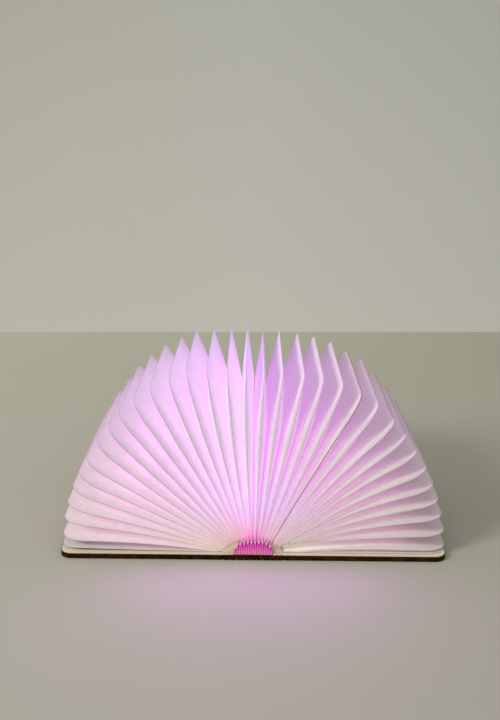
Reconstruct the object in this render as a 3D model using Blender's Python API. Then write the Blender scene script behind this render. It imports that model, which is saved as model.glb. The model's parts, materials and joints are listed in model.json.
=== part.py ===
"""Folding book lamp, lying open at half a turn.

Two wooden covers hang on a kerf-cut living hinge. A fan of paper pockets stands between them,
and a light bar runs along the spine under the pockets' open mouths.
Lengths are in metres. +X runs to the right cover, +Y from tail to head, +Z up from the table.
"""

import math

import bmesh
import bpy

MM = 0.001

# Covers
OPEN_HALF_WIDTH = 102 * MM  # from the middle of the spine to a cover's fore-edge
CLOSED_THICKNESS = 25 * MM  # over both covers when the book is shut
COVER_DEPTH = 122 * MM  # from tail to head
BOARD_THICKNESS = 2.8 * MM
BOARD_EDGE_BEVEL = 0.35 * MM
COVER_CORNER_RADIUS = 6.3 * MM
ENDPAPER_THICKNESS = 0.5 * MM
ENDPAPER_INSET = 0.4 * MM
GLUE_LINE = 0.2 * MM

# Living hinge
FOLD_SHARES = (3.5 / 16, 3 / 16, 3 / 16, 3 / 16, 3.5 / 16)  # of a cover's turn, middle to cover
KERF_CLEARANCE = 0.15 * MM  # what a kerf keeps open when its edges lean together
SLOT_COUNT = 4
SLOT_WIDTH = 0.6 * MM
SLOT_BRIDGE = 5 * MM  # wood left between two slots of a slat

# Magnets in the covers
MAGNET_RADIUS = 4 * MM
MAGNET_THICKNESS = 1.5 * MM
MAGNET_EDGE_DISTANCE = 9 * MM  # from the fore-edge to a magnet's middle
MAGNET_END_DISTANCE = 20 * MM  # from the tail or the head to a magnet's middle
SENSOR_MAGNET_RADIUS = 2 * MM
SENSOR_MAGNET_DISTANCE = 4.5 * MM  # from the cover's hinge edge to its middle
MAGNET_CLEARANCE = 0.25 * MM

# Paper pockets
PAGES_PER_SIDE = 16
LEAF_THICKNESS = 0.12 * MM
PAGE_INSET = 3 * MM  # from the covers' tail or head edge to a pocket's edge
PAGE_CORNER_RADIUS = 12 * MM
SEAM_WIDTH = 1.6 * MM  # where the two leaves of a pocket are glued together
PAGE_CLEARANCE = 0.1 * MM  # from a leaf to the plane half-way to its neighbour
FAN_INSET = 0.5 * MM  # from the covers' fore-edges to the fan's widest place
FAN_HEIGHT = 99 * MM  # the fan's outline is half an ellipse over the spine
MOUTH_HALF_WIDTH = 16.2 * MM  # so is the tunnel that the pockets' mouths make
MOUTH_HEIGHT = 7.1 * MM
BULGE_RUN = 14 * MM  # from an edge to where a pocket reaches its full thickness
FULLNESS_SHARE = 0.9
BULGE_POWER_SHARE = 0.8
RUN_SHARES = (0, 0.4, 0.8, 1)  # places along a pocket, up to its round corners
CORNER_SHARES = (0.5, 0.8, 1)  # places round them, up to the fore-edge's seam
COLUMN_SHARES = (0.4, 1)  # places across a pocket, within its bulging run

# Light bar
BAR_HEIGHT = 6.6 * MM
BAR_SEAM_HEIGHT = 4.3 * MM  # where the diffuser meets the channel
BAR_UNDERSIDE_RADIUS = 9.1 * MM
BAR_LIFT = 0.35 * MM  # from the spine up to the channel's round underside
BAR_WALL = 0.8 * MM
KEEL_HALF_WIDTH = 1.1 * MM
CAP_THICKNESS = 1.6 * MM
CAP_FLUTES = 11
FLUTE_DEPTH = 0.35 * MM
DIFFUSER_RIBS = 12
DIFFUSER_RIB_DEPTH = 0.15 * MM
FIT_GAP = 0.25 * MM

# What the light bar holds
BATTERY_WIDTH = 7.6 * MM
BATTERY_LENGTH = 48 * MM
BATTERY_THICKNESS = 2.2 * MM
BATTERY_CORNER = 0.8 * MM
BOARD_WIDTH = 7.4 * MM
BOARD_LENGTH = 36 * MM
PCB_THICKNESS = 0.8 * MM
CHIP_HEIGHT = 1.1 * MM
CHIP_LENGTH = 4 * MM
CHIP_WIDTH = 4 * MM
STRIP_WIDTH = 3.4 * MM
STRIP_THICKNESS = 0.4 * MM
LED_COUNT = 11
LED_LENGTH = 2.8 * MM
LED_HEIGHT = 0.4 * MM
SOCKET_WIDTH = 8.9 * MM
SOCKET_HEIGHT = 3.1 * MM
SOCKET_LENGTH = 7.4 * MM
SOCKET_WALL = 0.35 * MM
TONGUE_WIDTH = 6.6 * MM
TONGUE_THICKNESS = 0.7 * MM
TONGUE_SHORTFALL = 1 * MM  # from the socket's mouth back to its tongue
SENSOR_WIDTH = 2.4 * MM
SENSOR_LENGTH = 4 * MM
SENSOR_THICKNESS = 1.2 * MM

ARC_STEPS = 6
ROUND_STEPS = 20
OVERRUN = 1 * MM  # how far a cutter passes through what it cuts

# Sizes that follow from those above
HINGES = len(FOLD_SHARES)
QUARTER_TURN = math.radians(90)
FOLDS_BEFORE = [QUARTER_TURN * sum(FOLD_SHARES[:number]) for number in range(HINGES)]
WIDEST_FOLD = QUARTER_TURN * max(FOLD_SHARES)
HALF_BOARD = BOARD_THICKNESS / 2
HALF_DEPTH = COVER_DEPTH / 2
PAGE_HALF_DEPTH = HALF_DEPTH - PAGE_INSET
FAN_HALF_WIDTH = OPEN_HALF_WIDTH - FAN_INSET
KERF = BOARD_THICKNESS * math.tan(WIDEST_FOLD / 2) + KERF_CLEARANCE
CLOSED_COSINES = 0.5 + sum(math.cos(fold) for fold in FOLDS_BEFORE[1:])
SLAT_PITCH = (CLOSED_THICKNESS - BOARD_THICKNESS) / 2 / CLOSED_COSINES
COVER_START = (HINGES - 0.5) * SLAT_PITCH + KERF / 2
ENDPAPER_TOP = BOARD_THICKNESS + GLUE_LINE + ENDPAPER_THICKNESS
STACK_HALF_WIDTH = CLOSED_THICKNESS / 2 - ENDPAPER_TOP
BAR_HALF_LENGTH = PAGE_HALF_DEPTH - CAP_THICKNESS


def clear_scene():
    for obj in list(bpy.data.objects):
        bpy.data.objects.remove(obj, do_unlink=True)


def principled(name, colour, roughness, metallic=0.0):
    material = bpy.data.materials.new(name)
    material.use_nodes = True
    shader = material.node_tree.nodes["Principled BSDF"]
    shader.inputs["Base Color"].default_value = (*colour, 1)
    shader.inputs["Roughness"].default_value = roughness
    shader.inputs["Metallic"].default_value = metallic
    material.diffuse_color = (*colour, 1)
    return material


def new_object(name, vertices, faces, material, origin=(0, 0, 0), parent=None):
    """An object from vertices that are measured from its origin, a point of its joint's axis."""
    mesh = bpy.data.meshes.new(name)
    mesh.from_pydata(vertices, [], faces)
    shape = bmesh.new()
    shape.from_mesh(mesh)
    bmesh.ops.recalc_face_normals(shape, faces=shape.faces)
    shape.to_mesh(mesh)
    shape.free()
    mesh.materials.append(material)
    obj = bpy.data.objects.new(name, mesh)
    bpy.context.collection.objects.link(obj)
    start = parent["axis_point"] if parent else (0, 0, 0)
    obj.location = [here - there for here, there in zip(origin, start)]
    obj.parent = parent
    obj["axis_point"] = list(origin)
    return obj


def smooth(obj, angle=30):
    obj.data.shade_smooth()
    obj.data.set_sharp_from_angle(angle=math.radians(angle))


def prism(name, outline, lower, upper, material, axis="Z", origin=(0, 0, 0), parent=None):
    """A flat outline carried from lower to upper: (x, y) points up Z, (x, z) points along Y or
    (y, z) points along X."""
    count = len(outline)
    place = {"X": 0, "Y": 1, "Z": 2}[axis]
    vertices = []
    for level in (lower, upper):
        for point in outline:
            point = [*point[:place], level, *point[place:]]
            vertices.append([value - start for value, start in zip(point, origin)])
    faces = [list(range(count)), list(range(count, 2 * count))]
    for here in range(count):
        there = (here + 1) % count
        faces.append([here, there, count + there, count + here])
    return new_object(name, vertices, faces, material, origin, parent)


def box(name, middle, size, material, parent=None):
    x, y, z = middle
    half_x, half_y, half_z = (length / 2 for length in size)
    outline = [(x - half_x, y - half_y), (x + half_x, y - half_y)]
    outline += [(x + half_x, y + half_y), (x - half_x, y + half_y)]
    return prism(name, outline, z - half_z, z + half_z, material, parent=parent)


def disc(name, middle, radius, thickness, material, origin, parent):
    x, y, z = middle
    turns = [math.tau * step / ROUND_STEPS for step in range(ROUND_STEPS)]
    outline = [(x + radius * math.cos(turn), y + radius * math.sin(turn)) for turn in turns]
    obj = prism(name, outline, z, z + thickness, material, origin=origin, parent=parent)
    smooth(obj)
    return obj


def cut(obj, cutter):
    """Takes the cutter's shape out of obj, and hides the cutter."""
    cutter.hide_render = True
    cutter.display_type = "WIRE"
    modifier = obj.modifiers.new("cut", "BOOLEAN")
    modifier.operation = "DIFFERENCE"
    modifier.object = cutter


def join_with(obj, other):
    """Makes other a part of obj's solid, and hides what it was made from."""
    other.hide_render = True
    other.display_type = "WIRE"
    modifier = obj.modifiers.new("join", "BOOLEAN")
    modifier.operation = "UNION"
    modifier.object = other


def bevel(obj, width):
    modifier = obj.modifiers.new("edges", "BEVEL")
    modifier.width = width
    modifier.segments = 1
    modifier.limit_method = "ANGLE"


def hinge_x(number):
    """How far hinge line 0, 1, 2... lies from the middle of the spine with the book open."""
    return (number + 0.5) * SLAT_PITCH


def closed_hinge_x(number):
    """The same with the book shut, when each hinge line has taken its share of the turn."""
    turned = sum(math.cos(fold) for fold in FOLDS_BEFORE[1 : number + 1])
    return (0.5 + turned) * SLAT_PITCH


def axis_point(side, number):
    return (side * hinge_x(number), 0, HALF_BOARD)


def make_spine_strip(wood):
    half = (SLAT_PITCH - KERF) / 2
    outline = [(-half, -HALF_DEPTH), (half, -HALF_DEPTH), (half, HALF_DEPTH), (-half, HALF_DEPTH)]
    return prism("spine_strip", outline, 0, BOARD_THICKNESS, wood)


def slot_places(number):
    """Middles and length of a slat's slots. Every second slat has one slot less, half a step on."""
    step = COVER_DEPTH / SLOT_COUNT
    count = SLOT_COUNT - number % 2
    middles = [(index - (count - 1) / 2) * step for index in range(count)]
    return middles, step - SLOT_BRIDGE


def make_slat(name, side, number, wood, parent):
    """Slat 1, 2... outward. It turns on hinge line number - 1 and carries the next one."""
    inner = side * (hinge_x(number - 1) + KERF / 2)
    outer = side * (hinge_x(number) - KERF / 2)
    outline = [(inner, -HALF_DEPTH), (outer, -HALF_DEPTH), (outer, HALF_DEPTH), (inner, HALF_DEPTH)]
    origin = axis_point(side, number - 1)
    slat = prism(name, outline, 0, BOARD_THICKNESS, wood, origin=origin, parent=parent)
    places, length = slot_places(number)
    for index, middle in enumerate(places):
        slot_size = (SLOT_WIDTH, length, BOARD_THICKNESS + 2 * OVERRUN)
        slot_middle = ((inner + outer) / 2, middle, HALF_BOARD)
        cut(slat, box(f"{name}_slot_{index}", slot_middle, slot_size, wood))
    return slat


def cover_outline(side, inset):
    """Seen from above: straight at the hinge, with two round corners at the fore-edge."""
    radius = COVER_CORNER_RADIUS - inset
    inner = COVER_START + inset
    outer = OPEN_HALF_WIDTH - inset
    end = HALF_DEPTH - inset
    points = [(inner, end), (inner, -end)]
    for middle_y, start in ((radius - end, -90), (end - radius, 0)):
        for step in range(ARC_STEPS + 1):
            turn = math.radians(start + 90 * step / ARC_STEPS)
            x = outer - radius + radius * math.cos(turn)
            points.append((x, middle_y + radius * math.sin(turn)))
    return [(side * x, y) for x, y in points]


def magnet_places(side):
    x = side * (OPEN_HALF_WIDTH - MAGNET_EDGE_DISTANCE)
    y = HALF_DEPTH - MAGNET_END_DISTANCE
    return {"tail": (x, -y), "head": (x, y)}


def make_magnet(name, place, radius, cover, wood, metal, origin):
    """A round magnet under the endpaper, and the pocket for it in the cover's inner face."""
    floor = BOARD_THICKNESS - MAGNET_THICKNESS - 2 * MAGNET_CLEARANCE
    wide = radius + MAGNET_CLEARANCE
    deep = BOARD_THICKNESS - floor + OVERRUN
    cut(cover, disc(name + "_pocket", (*place, floor), wide, deep, wood, origin, cover))
    middle = (*place, floor + MAGNET_CLEARANCE)
    disc(name, middle, radius, MAGNET_THICKNESS, metal, origin, cover)


def make_cover(side, side_name, parent, materials):
    """A cover board with its magnets and its endpaper, turning on the last hinge line."""
    wood, card, metal = (materials[key] for key in ("wood", "endpaper", "magnet"))
    origin = axis_point(side, HINGES - 1)
    outline = cover_outline(side, 0)
    name = f"cover_{side_name}"
    cover = prism(name, outline, 0, BOARD_THICKNESS, wood, origin=origin, parent=parent)
    bevel(cover, BOARD_EDGE_BEVEL)
    smooth(cover)
    for end, place in magnet_places(side).items():
        name = f"cover_magnet_{side_name}_{end}"
        make_magnet(name, place, MAGNET_RADIUS, cover, wood, metal, origin)
    if side < 0:
        place = (side * (COVER_START + SENSOR_MAGNET_DISTANCE), 0)
        make_magnet("sensor_magnet", place, SENSOR_MAGNET_RADIUS, cover, wood, metal, origin)
    lower = BOARD_THICKNESS + GLUE_LINE
    outline = cover_outline(side, ENDPAPER_INSET)
    name = f"endpaper_{side_name}"
    smooth(prism(name, outline, lower, ENDPAPER_TOP, card, origin=origin, parent=cover))


def page_share(index):
    """0 would be upright over the spine, and 1 flat on the cover."""
    return (index + 0.5) / PAGES_PER_SIDE


def page_angle(index):
    return QUARTER_TURN * (1 - page_share(index))


def page_hinge(index):
    """The hinge line that a page turns on, counted from the middle of the spine. A page whose
    share is what its slat has turned by is glued to that slat, and doesn't turn on it."""
    turned = QUARTER_TURN * page_share(index)
    return sum(fold <= turned for fold in FOLDS_BEFORE) - 1


def page_offset(index):
    """How far the page's plane passes from its hinge line, so that it closes in its place."""
    return closed_hinge_x(page_hinge(index)) - page_share(index) * STACK_HALF_WIDTH


def page_line(index):
    """A point and a direction of the right-hand page's plane, seen from the tail, in (x, z)."""
    angle = page_angle(index)
    offset = page_offset(index)
    x = hinge_x(page_hinge(index)) - offset * math.sin(angle)
    z = HALF_BOARD + offset * math.cos(angle)
    return (x, z), (math.cos(angle), math.sin(angle))


def distance_to_ellipse(index, half_width, height):
    """From the hinge line along the page to half an ellipse that stands on the spine."""
    (x, z), (run, rise) = page_line(index)
    z -= BOARD_THICKNESS
    a = (run / half_width) ** 2 + (rise / height) ** 2
    b = x * run / half_width**2 + z * rise / height**2
    c = (x / half_width) ** 2 + (z / height) ** 2 - 1
    return (math.sqrt(b * b - a * c) - b) / a


def crossing(line, other):
    """How far along line it crosses the other one."""
    (x, z), (run, rise) = line
    (other_x, other_z), (other_run, other_rise) = other
    turn = run * other_rise - rise * other_run
    return ((other_x - x) * other_rise - (other_z - z) * other_run) / turn


def neighbour_lines(index):
    """The planes next to a page: above it and below it. The mirror image of the page itself
    stands in for a neighbour across the middle of the fan, and below the lowest page."""
    (x, z), (run, rise) = page_line(index)
    above = page_line(index - 1) if index else ((-x, z), (-run, rise))
    lowest = index == PAGES_PER_SIDE - 1
    below = ((x, 2 * ENDPAPER_TOP - z), (run, -rise)) if lowest else page_line(index + 1)
    return above, below


def room_beside(index, along):
    """The room that a page has above and below it at a distance along it, up to the planes
    half-way to its neighbours."""
    half_angle = QUARTER_TURN / PAGES_PER_SIDE / 2
    line = page_line(index)
    starts = [crossing(line, other) for other in neighbour_lines(index)]
    return [(along - start) * math.tan(half_angle) - PAGE_CLEARANCE for start in starts]


def swell(distance):
    """The share of its full thickness that a pocket has at a distance from its edge."""
    share = (distance - SEAM_WIDTH) / (BULGE_RUN - SEAM_WIDTH)
    return math.sin(QUARTER_TURN * max(0, min(1, share))) ** BULGE_POWER_SHARE


def pocket_rows(mouth, fore_edge):
    """(distance along, half depth) of each row of points, from the mouth to the fore-edge."""
    corner_start = fore_edge - PAGE_CORNER_RADIUS
    rows = [(mouth + share * (corner_start - mouth), PAGE_HALF_DEPTH) for share in RUN_SHARES]
    runs = [share * (PAGE_CORNER_RADIUS - SEAM_WIDTH) for share in CORNER_SHARES]
    for run in runs + [PAGE_CORNER_RADIUS]:
        rise = math.sqrt(PAGE_CORNER_RADIUS**2 - run**2)
        rows.append((corner_start + run, PAGE_HALF_DEPTH - PAGE_CORNER_RADIUS + rise))
    return rows


def pocket_columns(half_depth):
    """(place from tail to head, distance from the nearer end) of each column of points."""
    from_end = [0, SEAM_WIDTH] + [share * BULGE_RUN for share in COLUMN_SHARES]
    tail = [(distance - half_depth, distance) for distance in from_end]
    head = [(-place, distance) for place, distance in reversed(tail)]
    return tail + [(0, half_depth)] + head


def pocket_grids(index):
    """Four grids of points of a pocket: its upper and lower outer faces, then its upper and
    lower inner faces. Inner points on the seam are the same above and below."""
    mouth = distance_to_ellipse(index, MOUTH_HALF_WIDTH, MOUTH_HEIGHT)
    fore_edge = distance_to_ellipse(index, FAN_HALF_WIDTH, FAN_HEIGHT)
    plane = page_offset(index)
    outer, inner = ([], []), ([], [])
    for along, half_depth in pocket_rows(mouth, fore_edge):
        room = room_beside(index, along)
        for grid in outer + inner:
            grid.append([])
        for place, from_end in pocket_columns(half_depth):
            bulge = swell(from_end) * swell(fore_edge - along)
            for face, sign in enumerate((1, -1)):
                hollow = bulge * FULLNESS_SHARE * (room[face] - LEAF_THICKNESS)
                z = plane + sign * (hollow + LEAF_THICKNESS)
                outer[face][-1].append((along, place, z))
                inner[face][-1].append((along, place, plane + sign * hollow))
    return outer, inner


def pocket_mesh(index):
    """A thin-walled pocket, glued at tail, fore-edge and head and open at the spine."""
    outer, inner = pocket_grids(index)
    rows, columns = len(outer[0]), len(outer[0][0])
    vertices, faces, numbers = [], [], {}

    def point(shell, face, row, column):
        on_seam = shell == "inner" and (row == rows - 2 or column in (1, columns - 2))
        key = (shell, 0 if on_seam else face, row, column)
        if key not in numbers:
            grids = inner if shell == "inner" else outer
            numbers[key] = len(vertices)
            vertices.append(grids[face][row][column])
        return numbers[key]

    def quad(shell, face, row, column):
        corners = ((row, column), (row + 1, column), (row + 1, column + 1), (row, column + 1))
        faces.append([point(shell, face, *corner) for corner in corners])

    for face in (0, 1):
        for row in range(rows - 1):
            for column in range(columns - 1):
                quad("outer", face, row, column)
        for row in range(rows - 2):
            for column in range(1, columns - 2):
                quad("inner", face, row, column)
        for column in range(1, columns - 2):
            outside = [point("outer", face, 0, column + 1), point("outer", face, 0, column)]
            inside = [point("inner", face, 0, column), point("inner", face, 0, column + 1)]
            faces.append(outside + inside)
    edge = [(row, 0) for row in range(rows)]
    edge += [(rows - 1, column) for column in range(1, columns)]
    edge += [(row, columns - 1) for row in reversed(range(rows - 1))]
    for here, there in zip(edge, edge[1:]):
        above = [point("outer", 0, *here), point("outer", 0, *there)]
        faces.append(above + [point("outer", 1, *there), point("outer", 1, *here)])
    for end, seam in ((0, 1), (columns - 1, columns - 2)):
        rim = [point("outer", 0, 0, end), point("outer", 0, 0, seam)]
        rim += [point("inner", 0, 0, seam)]
        faces.append(rim + [point("outer", 1, 0, seam), point("outer", 1, 0, end)])
    return vertices, faces


def make_page(side, side_name, index, carrier, paper):
    """One pocket of the fan. Its local x runs from its hinge line towards the fore-edge."""
    vertices, faces = pocket_mesh(index)
    vertices = [(x, y, side * z) for x, y, z in vertices]
    name = f"page_{side_name}_{index + 1:02d}"
    origin = axis_point(side, page_hinge(index))
    page = new_object(name, vertices, faces, paper, origin, carrier)
    angle = page_angle(index) if side > 0 else math.radians(180) - page_angle(index)
    page.rotation_euler = (0, -angle, 0)
    smooth(page, 60)


def underside(x, radius):
    """The height over the spine of the light bar's round underside, outside or inside."""
    return BAR_LIFT + BAR_UNDERSIDE_RADIUS - math.sqrt(radius**2 - x**2)


def arc_across(half_width, radius):
    """Points of the underside from left to right."""
    steps = 2 * ARC_STEPS
    places = [half_width * (2 * step / steps - 1) for step in range(steps + 1)]
    return [(x, underside(x, radius)) for x in places]


def half_width_at(height, radius):
    return math.sqrt(radius**2 - (BAR_LIFT + BAR_UNDERSIDE_RADIUS - height) ** 2)


def on_spine(points):
    """Points measured up from the spine's inner face, moved to their height over the table."""
    return [(across, z + BOARD_THICKNESS) for across, z in points]


def channel_outline():
    """Section of the channel: a round trough with a keel, glued to the spine strip."""
    wall_radius = BAR_UNDERSIDE_RADIUS - BAR_WALL
    outer_half = half_width_at(BAR_SEAM_HEIGHT, BAR_UNDERSIDE_RADIUS)
    inner_half = half_width_at(BAR_SEAM_HEIGHT, wall_radius)
    outside = arc_across(outer_half, BAR_UNDERSIDE_RADIUS)
    left = [point for point in outside if point[0] < -KEEL_HALF_WIDTH]
    right = [point for point in outside if point[0] > KEEL_HALF_WIDTH]
    top = underside(KEEL_HALF_WIDTH, BAR_UNDERSIDE_RADIUS)
    keel = [(-KEEL_HALF_WIDTH, top), (-KEEL_HALF_WIDTH, GLUE_LINE)]
    keel += [(KEEL_HALF_WIDTH, GLUE_LINE), (KEEL_HALF_WIDTH, top)]
    return left + keel + right + arc_across(inner_half, wall_radius)[::-1]


def dome(half_width, height, base, steps, ribs=0, depth=0):
    """Points of half an ellipse from right to left, ribbed along its length."""
    points = []
    for step in range(steps + 1):
        turn = math.pi * step / steps
        rib = depth * math.sin(ribs * turn) ** 2
        x = (half_width - rib) * math.cos(turn)
        points.append((x, base + (height - base - rib) * math.sin(turn)))
    return points


def bar_half_width():
    return half_width_at(BAR_SEAM_HEIGHT, BAR_UNDERSIDE_RADIUS)


def diffuser_outline():
    base = BAR_SEAM_HEIGHT + FIT_GAP
    half = bar_half_width()
    outside = dome(half, BAR_HEIGHT, base, 4 * DIFFUSER_RIBS, DIFFUSER_RIBS, DIFFUSER_RIB_DEPTH)
    wall = BAR_WALL + DIFFUSER_RIB_DEPTH
    inside = dome(half - wall, BAR_HEIGHT - BAR_WALL, base, 2 * ARC_STEPS)
    return outside + inside[::-1]


def bar_outline():
    """The light bar's whole section, for its end caps."""
    half = bar_half_width()
    lower = arc_across(half, BAR_UNDERSIDE_RADIUS)
    upper = dome(half, BAR_HEIGHT, BAR_SEAM_HEIGHT, 2 * ARC_STEPS)
    return lower + upper[1:-1]


def cut_flutes(cap, outer, frosted):
    """Upright grooves across a cap's outer face, which spread the light."""
    step = 2 * bar_half_width() / (CAP_FLUTES + 1)
    top = BOARD_THICKNESS + BAR_HEIGHT + OVERRUN
    reach = FLUTE_DEPTH if outer > 0 else -FLUTE_DEPTH
    for index in range(CAP_FLUTES):
        x = (index + 1) * step - bar_half_width()
        bottom = outer - reach
        wide = outer + reach
        groove = [(x, bottom), (x + step / 2, wide), (x - step / 2, wide)]
        cut(cap, prism(f"{cap.name}_flute_{index}", groove, 0, top, frosted))


def make_bar_shell(strip, materials):
    plastic, frosted = materials["channel"], materials["diffuser"]
    ends = (-BAR_HALF_LENGTH, BAR_HALF_LENGTH)
    channel = prism("bar_channel", on_spine(channel_outline()), *ends, plastic, "Y", parent=strip)
    smooth(channel)
    diffuser = prism("bar_diffuser", on_spine(diffuser_outline()), *ends, frosted, "Y", parent=strip)
    smooth(diffuser)
    for name, sign in (("bar_cap_tail", -1), ("bar_cap_head", 1)):
        inner = sign * (BAR_HALF_LENGTH + FIT_GAP)
        outer = sign * (BAR_HALF_LENGTH + CAP_THICKNESS)
        cap = prism(name, on_spine(bar_outline()), inner, outer, frosted, "Y", parent=strip)
        cut_flutes(cap, outer, frosted)
        if sign > 0:
            opening = socket_outline(FIT_GAP)
            lower = inner - OVERRUN
            upper = outer + OVERRUN
            cut(cap, prism("socket_opening", on_spine(opening), lower, upper, frosted, "Y"))


def battery_floor():
    """The lowest height at which a piece of the battery's width clears the channel."""
    return underside(BATTERY_WIDTH / 2, BAR_UNDERSIDE_RADIUS - BAR_WALL) + FIT_GAP


def strip_floor():
    return battery_floor() + BATTERY_THICKNESS + FIT_GAP


def make_battery(strip, foil):
    """A flat pouch cell with soft edges, in the tail half of the channel."""
    half, low = BATTERY_WIDTH / 2, battery_floor()
    high = low + BATTERY_THICKNESS
    middle = (low + high) / 2
    outline = [(-half, middle), (BATTERY_CORNER - half, low), (half - BATTERY_CORNER, low)]
    outline += [(half, middle), (half - BATTERY_CORNER, high), (BATTERY_CORNER - half, high)]
    tail = FIT_GAP - BAR_HALF_LENGTH
    ends = (tail, tail + BATTERY_LENGTH)
    prism("battery", on_spine(outline), *ends, foil, "Y", parent=strip)


def make_charge_board(strip, materials):
    """The charging and switching board, behind the battery, with its controller on top."""
    tail = 2 * FIT_GAP - BAR_HALF_LENGTH + BATTERY_LENGTH
    middle_y = tail + BOARD_LENGTH / 2
    low = BOARD_THICKNESS + battery_floor()
    middle = (0, middle_y, low + PCB_THICKNESS / 2)
    size = (BOARD_WIDTH, BOARD_LENGTH, PCB_THICKNESS)
    board = box("charge_board", middle, size, materials["circuit_board"], parent=strip)
    chip_top = low + PCB_THICKNESS + CHIP_HEIGHT
    chip_middle = (0, middle_y + CHIP_LENGTH, chip_top - CHIP_HEIGHT)
    chip_size = (CHIP_WIDTH, CHIP_LENGTH, 2 * CHIP_HEIGHT)
    join_with(board, box("controller_chip", chip_middle, chip_size, materials["circuit_board"]))
    sensor_low = low + PCB_THICKNESS + FIT_GAP
    sensor_y = middle_y - CHIP_LENGTH
    sensor_x = (SENSOR_WIDTH - BOARD_WIDTH) / 2
    middle = (sensor_x, sensor_y, sensor_low + SENSOR_THICKNESS / 2)
    size = (SENSOR_WIDTH, SENSOR_LENGTH, SENSOR_THICKNESS)
    box("magnetic_switch", middle, size, materials["black_plastic"], parent=strip)


def make_led_strip(strip, material):
    """A narrow circuit strip with a row of light-emitting chips, seen from the side."""
    low = strip_floor()
    top = low + STRIP_THICKNESS
    start = FIT_GAP - BAR_HALF_LENGTH
    end = BAR_HALF_LENGTH - SOCKET_LENGTH - 2 * FIT_GAP
    step = (end - start) / LED_COUNT
    outline = [(start, low), (end, low), (end, top)]
    for index in reversed(range(LED_COUNT)):
        middle = start + (index + 0.5) * step
        near, far = middle - LED_LENGTH / 2, middle + LED_LENGTH / 2
        outline += [(far, top), (far, top + LED_HEIGHT), (near, top + LED_HEIGHT), (near, top)]
    outline.append((start, top))
    half = STRIP_WIDTH / 2
    prism("led_strip", on_spine(outline), -half, half, material, "X", parent=strip)


def socket_middle():
    return battery_floor() + SOCKET_HEIGHT / 2


def socket_outline(margin):
    """A slot shape with round ends, larger all round by the margin."""
    radius = SOCKET_HEIGHT / 2 + margin
    straight = SOCKET_WIDTH / 2 - SOCKET_HEIGHT / 2
    points = []
    for side, start in ((1, -90), (-1, 90)):
        for step in range(ARC_STEPS + 1):
            turn = math.radians(start + 180 * step / ARC_STEPS)
            x = side * straight + radius * math.cos(turn)
            points.append((x, socket_middle() + radius * math.sin(turn)))
    return points


def make_socket(strip, metal):
    """The charging socket: a metal shell, open at the head, around a flat tongue."""
    mouth = BAR_HALF_LENGTH + CAP_THICKNESS
    back = mouth - SOCKET_LENGTH
    shell = prism("usb_socket", on_spine(socket_outline(0)), back, mouth, metal, "Y", parent=strip)
    smooth(shell)
    hollow = on_spine(socket_outline(-SOCKET_WALL))
    floor = back + SOCKET_WALL
    cut(shell, prism("socket_hollow", hollow, floor, mouth + OVERRUN, metal, "Y"))
    tongue_length = SOCKET_LENGTH - TONGUE_SHORTFALL - SOCKET_WALL / 2
    middle_y = mouth - TONGUE_SHORTFALL - tongue_length / 2
    middle = (0, middle_y, BOARD_THICKNESS + socket_middle())
    size = (TONGUE_WIDTH, tongue_length, TONGUE_THICKNESS)
    join_with(shell, box("socket_tongue", middle, size, metal))


def make_materials():
    return {
        "wood": principled("stained_wood", (0.075, 0.032, 0.016), 0.6),
        "endpaper": principled("endpaper_card", (0.80, 0.73, 0.62), 0.75),
        "paper": principled("spun_paper", (0.86, 0.74, 0.84), 0.8),
        "channel": principled("moulded_channel", (0.85, 0.83, 0.80), 0.45),
        "diffuser": principled("frosted_diffuser", (0.92, 0.42, 0.78), 0.4),
        "magnet": principled("nickel_plate", (0.72, 0.71, 0.69), 0.25, 1.0),
        "metal": principled("tinned_steel", (0.68, 0.68, 0.70), 0.3, 1.0),
        "foil": principled("battery_foil", (0.62, 0.63, 0.66), 0.4, 0.8),
        "circuit_board": principled("circuit_board", (0.03, 0.16, 0.08), 0.5),
        "led_strip": principled("led_strip", (0.88, 0.87, 0.80), 0.4),
        "black_plastic": principled("black_plastic", (0.02, 0.02, 0.02), 0.5),
    }


def make_side(side, side_name, strip, materials):
    """The slats, pages and cover of one side. A page rides on what lies before its hinge line."""
    carriers = [strip]
    for number in range(1, HINGES):
        name = f"hinge_slat_{side_name}_{number}"
        carriers.append(make_slat(name, side, number, materials["wood"], carriers[-1]))
    make_cover(side, side_name, carriers[-1], materials)
    for index in range(PAGES_PER_SIDE):
        carrier = carriers[page_hinge(index)]
        make_page(side, side_name, index, carrier, materials["paper"])


def make_light_bar(strip, materials):
    make_bar_shell(strip, materials)
    make_battery(strip, materials["foil"])
    make_charge_board(strip, materials)
    make_led_strip(strip, materials["led_strip"])
    make_socket(strip, materials["metal"])


def main():
    clear_scene()
    materials = make_materials()
    strip = make_spine_strip(materials["wood"])
    make_side(-1, "left", strip, materials)
    make_side(1, "right", strip, materials)
    make_light_bar(strip, materials)


main()
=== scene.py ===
"""Looks of the folding book lamp: paper pockets full of light over a burnt-edged wooden cover."""

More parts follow.
